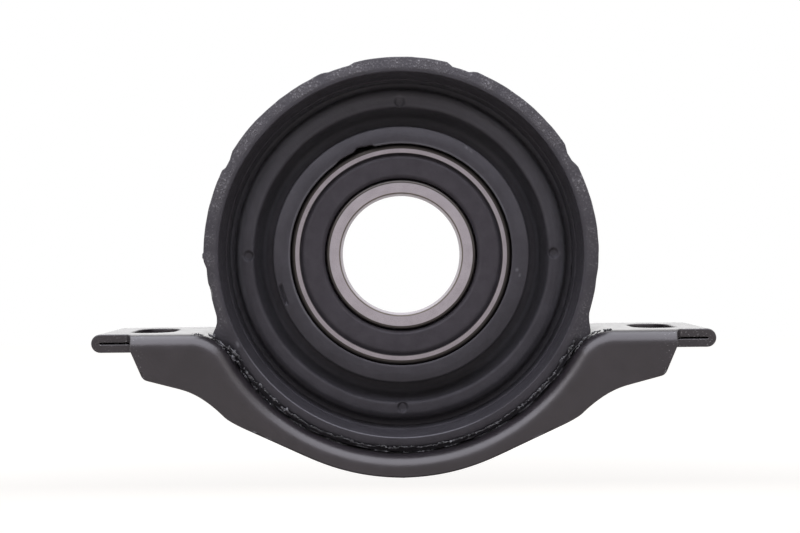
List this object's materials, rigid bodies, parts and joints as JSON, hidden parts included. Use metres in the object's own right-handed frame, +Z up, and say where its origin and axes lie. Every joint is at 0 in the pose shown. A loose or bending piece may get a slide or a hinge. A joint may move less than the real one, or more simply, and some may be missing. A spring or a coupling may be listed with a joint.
{
  "type": "driveshaft centre bearing",
  "caption": "Sealed ball bearing in a folded rubber mount, carried by a pressed-steel cradle bracket with slotted ears, for the middle of a split driveshaft.",
  "frame": {"origin": "midway between the two bolt slots, on the ears' upper faces, where the part is bolted up; the shaft axis runs 15.5 mm above it", "axes": "+X along the row of bolt slots, to the right as the front is seen; +Y along the shaft axis, to the rear; +Z up, towards the vehicle floor"},
  "size_m": [0.1264, 0.032, 0.0841],
  "materials": {
    "painted_bracket": "semi-gloss black paint, lightly scratched",
    "mount_rubber": "moulded matt black rubber with trimmed flash",
    "sleeve_steel": "dark drawn steel",
    "bearing_steel": "ground bearing steel",
    "seal_rubber": "smooth dark grey seal rubber",
    "cage_steel": "pressed sheet steel"
  },
  "bodies": {
    "mount": {"bracket": "painted_bracket", "rubber_mount": "mount_rubber", "bearing_sleeve": "sleeve_steel", "outer_ring": "bearing_steel", "front_seal": "seal_rubber", "rear_seal": "seal_rubber"},
    "inner_ring": {"inner_ring": "bearing_steel"},
    "cage": {"cage_front": "cage_steel", "cage_rear": "cage_steel", "cage_rivet_01": "cage_steel", "cage_rivet_02": "cage_steel", "cage_rivet_03": "cage_steel", "cage_rivet_04": "cage_steel", "cage_rivet_05": "cage_steel", "cage_rivet_06": "cage_steel", "cage_rivet_07": "cage_steel", "cage_rivet_08": "cage_steel", "cage_rivet_09": "cage_steel", "cage_rivet_10": "cage_steel"},
    "ball_01": {"ball_01": "bearing_steel"},
    "ball_02": {"ball_02": "bearing_steel"},
    "ball_03": {"ball_03": "bearing_steel"},
    "ball_04": {"ball_04": "bearing_steel"},
    "ball_05": {"ball_05": "bearing_steel"},
    "ball_06": {"ball_06": "bearing_steel"},
    "ball_07": {"ball_07": "bearing_steel"},
    "ball_08": {"ball_08": "bearing_steel"},
    "ball_09": {"ball_09": "bearing_steel"},
    "ball_10": {"ball_10": "bearing_steel"}
  },
  "joints": [
    {"name": "inner_spin", "type": "hinge", "parent": "mount", "child": "inner_ring", "pos_m": [0, 0, 0.0155], "axis": [0, 1, 0], "continuous": true},
    {"name": "cage_orbit", "type": "hinge", "parent": "mount", "child": "cage", "pos_m": [0, 0, 0.0155], "axis": [0, 1, 0], "continuous": true},
    {"name": "ball_01_spin", "type": "hinge", "parent": "cage", "child": "ball_01", "pos_m": [0.018, 0, 0.0155], "axis": [0, 1, 0], "continuous": true},
    {"name": "ball_02_spin", "type": "hinge", "parent": "cage", "child": "ball_02", "pos_m": [0.01456, 0, 0.00492], "axis": [0, 1, 0], "continuous": true},
    {"name": "ball_03_spin", "type": "hinge", "parent": "cage", "child": "ball_03", "pos_m": [0.00556, 0, -0.00162], "axis": [0, 1, 0], "continuous": true},
    {"name": "ball_04_spin", "type": "hinge", "parent": "cage", "child": "ball_04", "pos_m": [-0.00556, 0, -0.00162], "axis": [0, 1, 0], "continuous": true},
    {"name": "ball_05_spin", "type": "hinge", "parent": "cage", "child": "ball_05", "pos_m": [-0.01456, 0, 0.00492], "axis": [0, 1, 0], "continuous": true},
    {"name": "ball_06_spin", "type": "hinge", "parent": "cage", "child": "ball_06", "pos_m": [-0.018, 0, 0.0155], "axis": [0, 1, 0], "continuous": true},
    {"name": "ball_07_spin", "type": "hinge", "parent": "cage", "child": "ball_07", "pos_m": [-0.01456, 0, 0.02608], "axis": [0, 1, 0], "continuous": true},
    {"name": "ball_08_spin", "type": "hinge", "parent": "cage", "child": "ball_08", "pos_m": [-0.00556, 0, 0.03262], "axis": [0, 1, 0], "continuous": true},
    {"name": "ball_09_spin", "type": "hinge", "parent": "cage", "child": "ball_09", "pos_m": [0.00556, 0, 0.03262], "axis": [0, 1, 0], "continuous": true},
    {"name": "ball_10_spin", "type": "hinge", "parent": "cage", "child": "ball_10", "pos_m": [0.01456, 0, 0.02608], "axis": [0, 1, 0], "continuous": true}
  ],
  "couplings": [
    {"joint": "cage_orbit", "follows": "inner_spin", "ratio": 0.4118},
    {"joint": "ball_01_spin", "follows": "inner_spin", "ratio": -2.7463},
    {"joint": "ball_02_spin", "follows": "inner_spin", "ratio": -2.7463},
    {"joint": "ball_03_spin", "follows": "inner_spin", "ratio": -2.7463},
    {"joint": "ball_04_spin", "follows": "inner_spin", "ratio": -2.7463},
    {"joint": "ball_05_spin", "follows": "inner_spin", "ratio": -2.7463},
    {"joint": "ball_06_spin", "follows": "inner_spin", "ratio": -2.7463},
    {"joint": "ball_07_spin", "follows": "inner_spin", "ratio": -2.7463},
    {"joint": "ball_08_spin", "follows": "inner_spin", "ratio": -2.7463},
    {"joint": "ball_09_spin", "follows": "inner_spin", "ratio": -2.7463},
    {"joint": "ball_10_spin", "follows": "inner_spin", "ratio": -2.7463}
  ]
}
